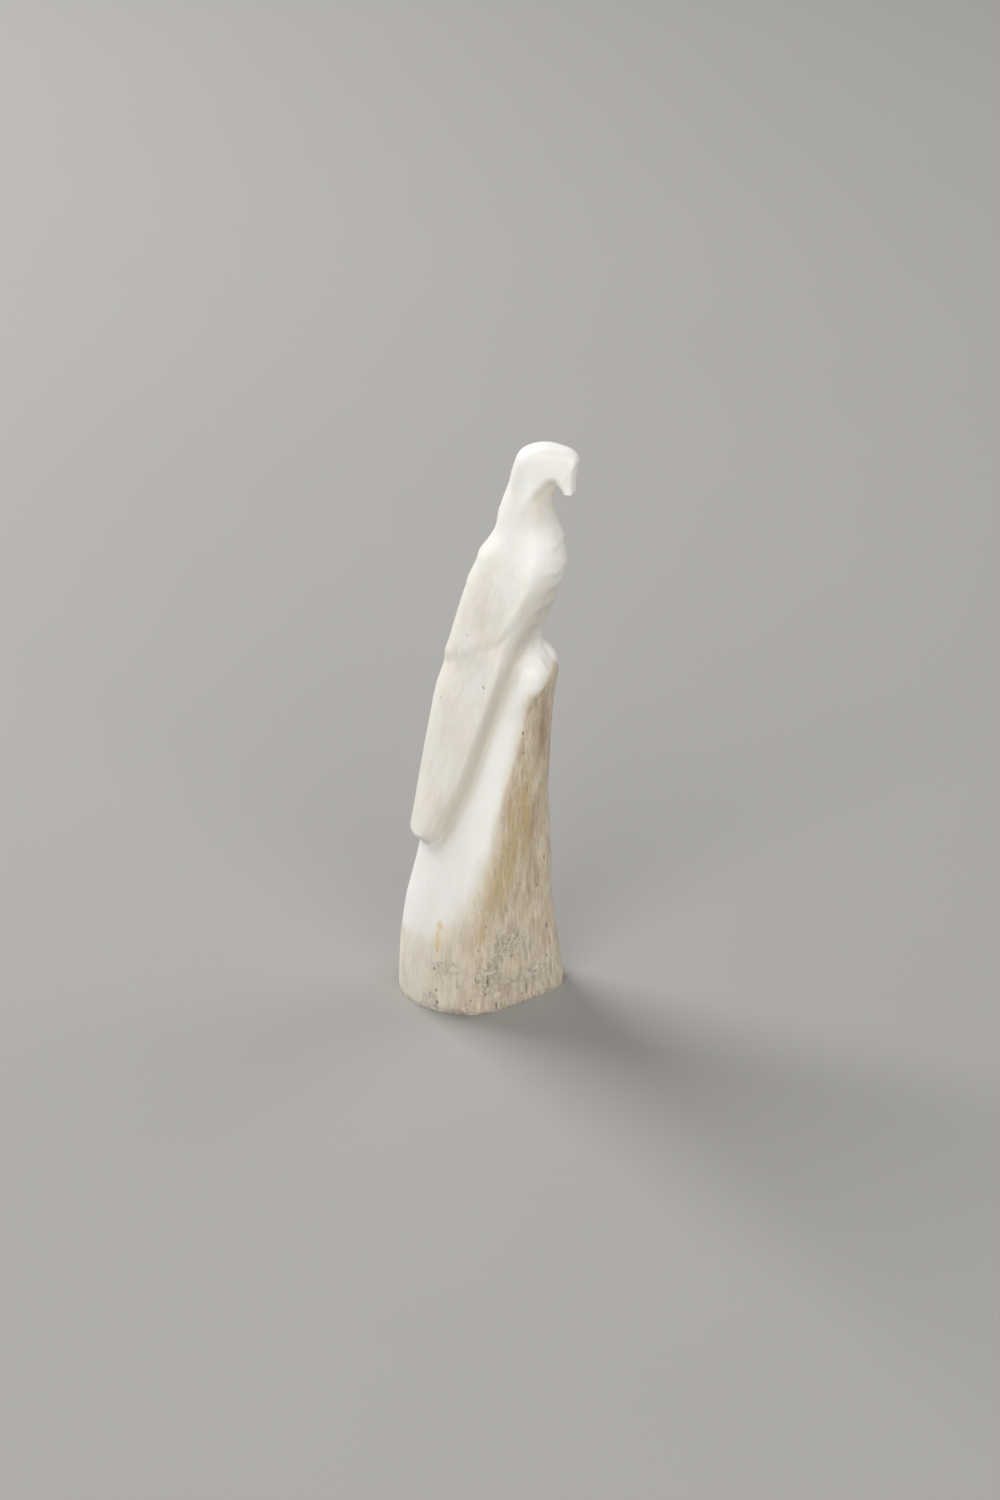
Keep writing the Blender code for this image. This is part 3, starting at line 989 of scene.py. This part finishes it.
@dataclass(frozen=True)
class Blemishes:
    """The marks that can be made out on the near side, in rows of three coordinates, a width and a height."""

    rows: dict[Mark, tuple[tuple[float, ...], ...]] = field(
        default_factory=lambda: {
            Mark.PORE: (
                *((-4.2, -10.5, 8.0, 0.22, 0.26), (-1.1, -10.3, 9.5, 0.22, 0.24), (-3.7, -10.7, 1.8, 0.28, 0.28)),
                *((-5.0, -10.5, 3.3, 0.16, 0.26), (-3.9, -10.7, 4.0, 0.16, 0.24), (6.2, -4.9, 18.1, 0.16, 0.36)),
                *((9.6, 0.2, 20.7, 0.2, 0.55), (10.4, 1.2, 25.7, 0.2, 0.45), (3.8, -8.0, 16.0, 0.14, 0.24)),
                *((4.7, -7.4, 10.3, 0.16, 0.32), (7.0, -4.4, 9.3, 0.2, 0.24), (10.7, 2.0, 12.4, 0.2, 0.36)),
                *((9.1, -0.8, 11.2, 0.16, 0.36), (7.4, -3.3, 22.0, 0.16, 0.5), (8.9, -4.6, 50.7, 0.14, 0.4)),
                *((0.5, -7.0, 67.9, 0.12, 0.16), (3.6, -8.4, 59.9, 0.11, 0.3), (-4.7, -5.5, 55.3, 0.11, 0.24)),
            ),
            Mark.CRACK: ((4.2, -8.4, 6.0, 0.2, 1.1), (8.8, -2.3, 2.0, 0.18, 1.5), (5.4, -7.4, 1.2, 0.16, 0.9)),
            Mark.SCAR: (
                *((4.2, -8.4, 7.5, 1.3, 0.34), (9.1, -1.6, 4.6, 1.1, 0.4), (9.8, -0.6, 5.6, 0.7, 0.5)),
                *((6.1, -5.3, 14.2, 0.8, 0.2), (7.4, -3.9, 10.6, 1.5, 0.16), (-0.9, -10.4, 8.4, 0.9, 0.55)),
                *((5.4, -7.2, 3.2, 0.8, 0.5), (-4.8, -10.5, 1.8, 0.9, 0.6)),
            ),
            Mark.STAIN: ((-3.5, -9.8, 15.8, 0.55, 0.9), (-3.8, -10.1, 12.9, 0.4, 2.9)),
        }
    )

    def share(self, kind: Mark, graph: Graph, place: Socket, ragged: Socket) -> Socket:
        """Adds the nodes that draw all marks of one kind.

        Args:
            kind: the kind of mark.
            graph: the material's nodes.
            place: the place on the object.
            ragged: a noise that makes each outline uneven.

        Returns:
            How much of such a mark covers the surface there.
        """
        return reduce(graph.larger, [Blemish(*row).share(graph, place, ragged) for row in self.rows[kind]])


@dataclass(frozen=True)
class Ground:
    """What lies where on the antler, for its colour, its roughness and its relief alike."""

    bark: Socket
    streaks: Socket
    fibres: Socket
    broad: Socket
    crust: Socket
    flakes: Socket
    gaps: Socket
    pits: Socket
    scars: Socket
    stains: Socket
    core_pores: Socket
    on_end: Socket


@dataclass(frozen=True)
class AntlerFinish:
    """Polished antler where it is carved, its own streaked and pitted bark where it isn't, and the sawn foot."""

    tones: dict[Skin, Tone] = field(
        default_factory=lambda: {
            Skin.POLISHED: Tone((0.90, 0.885, 0.85), (0.83, 0.79, 0.70), 0.42),
            Skin.BARK: Tone((0.69, 0.61, 0.48), (0.41, 0.335, 0.235), 0.62),
            Skin.SAWN: Tone((0.70, 0.62, 0.49), (0.36, 0.28, 0.20), 0.75),
        }
    )
    golden: Colour = (0.50, 0.38, 0.20)
    brown: Colour = (0.34, 0.25, 0.165)
    cream: Colour = (0.75, 0.685, 0.55)
    pale: Colour = (0.84, 0.79, 0.68)
    rose: Colour = (0.60, 0.485, 0.40)
    scar: Colour = (0.88, 0.81, 0.71)
    stain: Colour = (0.74, 0.50, 0.12)
    # Painted shade and grime for the hollows: a darker beige laid in the sunk throat and the groove in front of the
    # plumage.
    hollow: Colour = (0.57, 0.52, 0.425)
    dirt: Colour = (0.14, 0.09, 0.06)
    blemishes: Blemishes = field(default_factory=Blemishes)
    streaks: Cloud = Cloud(0.8, 5.5, 6.0, 0.68, lean=15.0)
    creamy: Cloud = Cloud(4.5, 9.0, 5.0, 0.65, (0.38, 0.66), lean=15.0)
    fibres: Cloud = Cloud(0.5, 3.2, 6.0, 0.66)
    mottling: Cloud = Cloud(1.0, 4.2, 5.0, 0.58)
    rosy: Cloud = Cloud(3.0, 4.6, 4.0, 0.6, (0.45, 0.66), 0.45)
    yellow: Cloud = Cloud(2.4, 9.0, 3.0, 0.6, (0.5, 0.7), 0.4)
    broad: Cloud = Cloud(1.3, 10.0, 4.0, 0.62, (0.36, 0.62))
    flecks: Cloud = Cloud(0.34, 1.7, 3.0, 0.6, (0.56, 0.66))
    crumbs: Cloud = Cloud(0.6, 0.75, 6.0, 0.68)
    ragged: Cloud = Cloud(0.24, 0.4, 3.0, 0.6)
    porous: Cloud = Cloud(3.5, 6.0, 2.0, 0.5, (0.48, 0.6))
    core_edge: Cloud = Cloud(3.0, 3.0, 3.0, 0.5)
    sawing: Cloud = Cloud(0.4, 1.0, 2.0, 0.5, (0.35, 0.7), 0.35, sideways=12.0)
    plumage_shows: Span = (0.15, 0.7)
    streaks_show: Span = (0.45, 0.75)
    grain_shows: Span = (0.38, 0.66)
    flakes_show: Span = (0.5, 0.6)
    gaps_show: Span = (0.46, 0.38)
    near_bark: Span = (-1.9, 0.4)
    near_bark_strength: float = 0.75
    pore_spacing: Span = (1.5, 2.6)
    pore_size: Span = (0.15, 0.05)
    core_pore_spacing: Span = (0.8, 2.0)
    core_pore_size: Span = (0.55, 0.2)
    core_shows: Span = (0.36, 0.58)
    end_shows: Span = (0.002, 0.012)
    streak_gloss: float = 0.24
    bump_depth: float = 0.0001
    bump_strength: float = 0.9
    glow: float = 0.1
    glow_depth: float = 0.0004

    def polished(self, graph: Graph, streaks: Socket) -> Socket:
        """Colours the carved surface: nearly white, with cream streaks on the plumage, and painted shade mixed with
        grime in the hollows.

        Args:
            graph: the material's nodes.
            streaks: the noise of the streaks.

        Returns:
            The colour.
        """
        tone = self.tones[Skin.POLISHED]
        feathered = graph.span(graph.attribute("plumage"), *self.plumage_shows)
        clouds = graph.times(graph.cloud(self.creamy), graph.line(feathered, 0.45, 0.25))
        near = graph.span(graph.attribute("bark_depth"), *self.near_bark, self.near_bark_strength)
        streaked = graph.times(graph.span(streaks, *self.streaks_show), graph.line(feathered, 0.5, 0.08))
        # Painted shade and grime darken the hollows, a little uneven with the streaks' noise.
        shade_and_grime = graph.times(graph.attribute("hollow"), graph.line(streaks, 0.7, 0.5))
        colour = graph.blend(graph.line(feathered, 0.4, clouds), tone.light, tone.dark)
        return graph.layers(colour, (streaked, self.cream), (near, self.cream), (shade_and_grime, self.hollow))

    def bark(self, graph: Graph, fibres: Socket, broad: Socket) -> Socket:
        """Colours the bark: beige with an upright grain, golden and brown streaks, and rosy patches.

        Args:
            graph: the material's nodes.
            fibres: the noise of the fine grain.
            broad: the noise of the broad streaks.

        Returns:
            The colour.
        """
        tone = self.tones[Skin.BARK]
        mixed = graph.line(fibres, 0.5, graph.times(graph.cloud(self.mottling), 0.5))
        golden = graph.times(graph.attribute("golden"), graph.line(broad, 0.75, 0.25))
        brown = graph.times(graph.attribute("brown"), graph.line(broad, 0.65, 0.25))
        flecks = graph.times(graph.cloud(self.flecks), graph.line(graph.larger(golden, brown), 0.75, 0.1))
        return graph.layers(
            graph.blend(graph.span(mixed, *self.grain_shows), tone.light, tone.dark),
            (graph.cloud(self.rosy), self.rose),
            (graph.cloud(self.yellow), self.golden),
            (golden, self.golden),
            (brown, self.brown),
            (flecks, self.brown),
            (graph.times(graph.attribute("back"), graph.line(broad, -0.3, 0.9)), self.pale),
        )

    def sawn(self, graph: Graph, pores: Socket) -> Socket:
        """Colours the sawn end: a close rim round a spongy core, with the lines that the saw left."""
        tone = self.tones[Skin.SAWN]
        rim = graph.blend(graph.cloud(self.sawing), tone.light, tone.dark)
        return graph.blend(graph.times(pores, 0.85), rim, tone.dark)

    def pores_of_core(self, graph: Graph) -> Socket:
        """Opens the pores of the spongy core, inside an uneven rim."""
        uneven = graph.line(graph.cloud(self.core_edge), 0.3, graph.attribute("core"))
        cells = graph.span(graph.cells(*self.core_pore_spacing), *self.core_pore_size)
        return graph.times(cells, graph.span(uneven, *self.core_shows))

    def random_pores(self, graph: Graph) -> Socket:
        """Scatters small open pores, longer than wide, over the bark."""
        pores = graph.span(graph.cells(*self.pore_spacing), *self.pore_size)
        return graph.times(pores, graph.times(graph.cloud(self.porous), graph.attribute("bark")))

    def ground(self, graph: Graph) -> Ground:
        """Adds the nodes that colour, roughness and relief share.

        Args:
            graph: the material's nodes.

        Returns:
            What lies where.
        """
        place = graph.node("TexCoord", {}).outputs["Object"]
        ragged = graph.line(graph.cloud(self.ragged), 2.2, -1.1)
        drawn = {kind: self.blemishes.share(kind, graph, place, ragged) for kind in Mark}
        pores = graph.larger(drawn[Mark.PORE], graph.times(self.random_pores(graph), 0.75))
        crust, crumbs = graph.attribute("crust"), graph.cloud(self.crumbs)
        return Ground(
            bark=graph.attribute("bark"),
            streaks=graph.cloud(self.streaks),
            fibres=graph.cloud(self.fibres),
            broad=graph.cloud(self.broad),
            crust=crust,
            flakes=graph.times(graph.span(crumbs, *self.flakes_show), crust),
            gaps=graph.times(graph.span(crumbs, *self.gaps_show), crust),
            pits=graph.larger(pores, drawn[Mark.CRACK]),
            scars=drawn[Mark.SCAR],
            stains=drawn[Mark.STAIN],
            core_pores=self.pores_of_core(graph),
            on_end=graph.span(graph.attribute("core"), *self.end_shows),
        )

    def colour(self, graph: Graph, ground: Ground) -> Socket:
        """Colours the whole carving, with the crust and the marks over its bark."""
        polished = self.polished(graph, ground.streaks)
        return graph.layers(
            graph.blend(ground.bark, polished, self.bark(graph, ground.fibres, ground.broad)),
            (graph.times(ground.crust, 0.25), self.rose),
            (graph.times(ground.flakes, 0.52), self.scar),
            (graph.times(ground.gaps, 0.22), self.brown),
            (graph.times(ground.scars, 0.45), self.scar),
            (graph.times(ground.stains, 0.5), self.stain),
            (graph.times(ground.pits, 0.55), self.dirt),
            (ground.on_end, self.sawn(graph, ground.core_pores)),
        )

    def roughness(self, graph: Graph, ground: Ground) -> Socket:
        """Gives the roughness: the carved surface is polished, the bark is dull and the sawn end duller."""
        polished, bark, sawn = (self.tones[skin].roughness for skin in Skin)
        usual = graph.line(ground.bark, bark - polished, polished)
        streaked = graph.line(ground.streaks, self.streak_gloss, graph.maths("SUBTRACT", usual, self.streak_gloss / 2))
        return graph.larger(streaked, graph.times(ground.on_end, sawn))

    def relief(self, graph: Graph, ground: Ground) -> Socket:
        """Gives the fine relief, as a direction that the surface seems to face."""
        height = graph.times(ground.fibres, graph.line(ground.bark, 0.9, 0.15))
        for value, depth in (
            (ground.streaks, 0.35),
            (graph.maths("SUBTRACT", ground.flakes, ground.gaps), 0.9),
            (ground.pits, -1.5),
            (ground.scars, 0.5),
            (ground.core_pores, -2.0),
        ):
            height = graph.line(value, depth, height)
        bump = {"Height": height, "Distance": self.bump_depth, "Strength": self.bump_strength}
        return graph.node("Bump", bump).outputs["Normal"]

    def material(self) -> bpy.types.Material:
        """Makes the material.

        Returns:
            The finished material.
        """
        graph = Graph("carved_antler")
        ground = self.ground(graph)
        graph.finish(
            {
                "Base Color": self.colour(graph, ground),
                "Roughness": self.roughness(graph, ground),
                "Normal": self.relief(graph, ground),
                "Subsurface Weight": self.glow,
                "Subsurface Scale": self.glow_depth,
                "IOR": 1.5,
            }
        )
        return graph.material


@dataclass(frozen=True)
class Lamp:
    """A square soft light that looks at the middle of the carving."""

    name: str
    azimuth: float
    elevation: float
    distance: float
    size: float
    watts: float

    def build(self) -> None:
        """Hangs the light in the scene."""
        data = bpy.data.lights.new(self.name, "AREA")
        data.size, data.energy = self.size, self.watts
        lamp = bpy.data.objects.new(self.name, data)
        turn, tilt = math.radians(self.azimuth), math.radians(self.elevation)
        away = Vector((math.sin(turn) * math.cos(tilt), -math.cos(turn) * math.cos(tilt), math.sin(tilt)))
        lamp.location = Vector((0.0, 0.0, CARVING_HEIGHT / 2)) + away * self.distance
        lamp.rotation_euler = away.to_track_quat("Z", "Y").to_euler()
        bpy.context.scene.collection.objects.link(lamp)


@dataclass(frozen=True)
class Studio:
    """A plain pale floor, a pale room and soft lights."""

    lamps: tuple[Lamp, ...] = (
        Lamp("high_light_from_the_front", -5.0, 38.0, 0.8, 0.4, 2.5),
        Lamp("low_light_from_the_front", 42.0, 15.0, 0.8, 0.45, 3.2),
        Lamp("soft_light_from_the_back_left", -112.0, 36.0, 0.8, 0.45, 7.0),
        Lamp("soft_light_from_the_back_right", 140.0, 38.0, 0.8, 0.45, 1.7),
    )
    floor_size: float = 8.0
    floor_colour: Colour = (0.34, 0.33, 0.315)
    floor_change: float = 1.06
    floor_cloud: Cloud = Cloud(120.0, 120.0, 3.0, 0.5)
    room_colour: Colour = (1.0, 0.99, 0.97)
    room_light: float = 0.11

    def floor(self) -> bpy.types.Object:
        """Lays the floor, with a faint cloud in its colour."""
        half = self.floor_size / 2
        mesh = bpy.data.meshes.new("floor")
        mesh.from_pydata([(-half, -half, 0), (half, -half, 0), (half, half, 0), (-half, half, 0)], [], [(0, 1, 2, 3)])
        graph = Graph("pale_floor")
        lighter = tuple(value * self.floor_change for value in self.floor_colour)
        colour = graph.blend(graph.cloud(self.floor_cloud), self.floor_colour, lighter)
        graph.finish({"Base Color": colour, "Roughness": 0.9, "Specular IOR Level": 0.15})
        mesh.materials.append(graph.material)
        plane = bpy.data.objects.new("floor", mesh)
        bpy.context.scene.collection.objects.link(plane)
        return plane

    def build(self) -> None:
        """Sets up the floor, the room's light and the lamps."""
        self.floor()
        world = bpy.data.worlds.new("pale_room")
        world.use_nodes = True
        room = world.node_tree.nodes["Background"]
        room.inputs["Color"].default_value = (*self.room_colour, 1.0)
        room.inputs["Strength"].default_value = self.room_light
        bpy.context.scene.world = world
        bpy.context.scene.view_settings.view_transform = "Standard"
        for lamp in self.lamps:
            lamp.build()


@dataclass(frozen=True)
class ViewOfThePhotograph:
    """The camera, placed so that the carving's foot falls where the photograph has it."""

    azimuth: float = 20.0
    elevation: float = 28.0
    distance: float = 0.700
    metres_per_pixel: float = 0.000149
    foot_pixel: Span = (481.0, 984.0)
    picture: tuple[int, int] = (1000, 1500)
    film: float = 36.0
    sees_between: Span = (0.01, 100.0)

    def build(self) -> None:
        """Sets up the camera."""
        turn, tilt = math.radians(self.azimuth), math.radians(self.elevation)
        ahead = Vector((-math.sin(turn) * math.cos(tilt), math.cos(turn) * math.cos(tilt), -math.sin(tilt)))
        right = Vector((math.cos(turn), math.sin(turn), 0.0))
        up = right.cross(ahead)
        wide, high = self.picture
        middle = right * (wide / 2 - self.foot_pixel[0]) + up * (self.foot_pixel[1] - high / 2)
        data = bpy.data.cameras.new("view_of_the_photograph")
        data.sensor_width = self.film
        data.lens = self.film * self.distance / self.metres_per_pixel / max(self.picture)
        data.clip_start, data.clip_end = self.sees_between
        camera = bpy.data.objects.new("view_of_the_photograph", data)
        turned = Matrix((right, up, -ahead)).transposed().to_4x4()
        turned.translation = middle * self.metres_per_pixel - ahead * self.distance
        camera.matrix_world = turned
        bpy.context.scene.collection.objects.link(camera)
        bpy.context.scene.camera = camera


def main() -> None:
    """Builds the carving and the studio, and reports each piece."""
    logging.basicConfig(level=logging.INFO, format="%(name)s: %(message)s")
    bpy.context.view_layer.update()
    ViewOfThePhotograph().build()
    Studio().build()
    piece = Carving().build()
    piece.data.materials.append(AntlerFinish().material())
    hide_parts(NODE)
    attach(piece, BODY)
    log.info("%s: %d vertices, %d faces", piece.name, len(piece.data.vertices), len(piece.data.polygons))


if __name__ == "__main__":
    main()
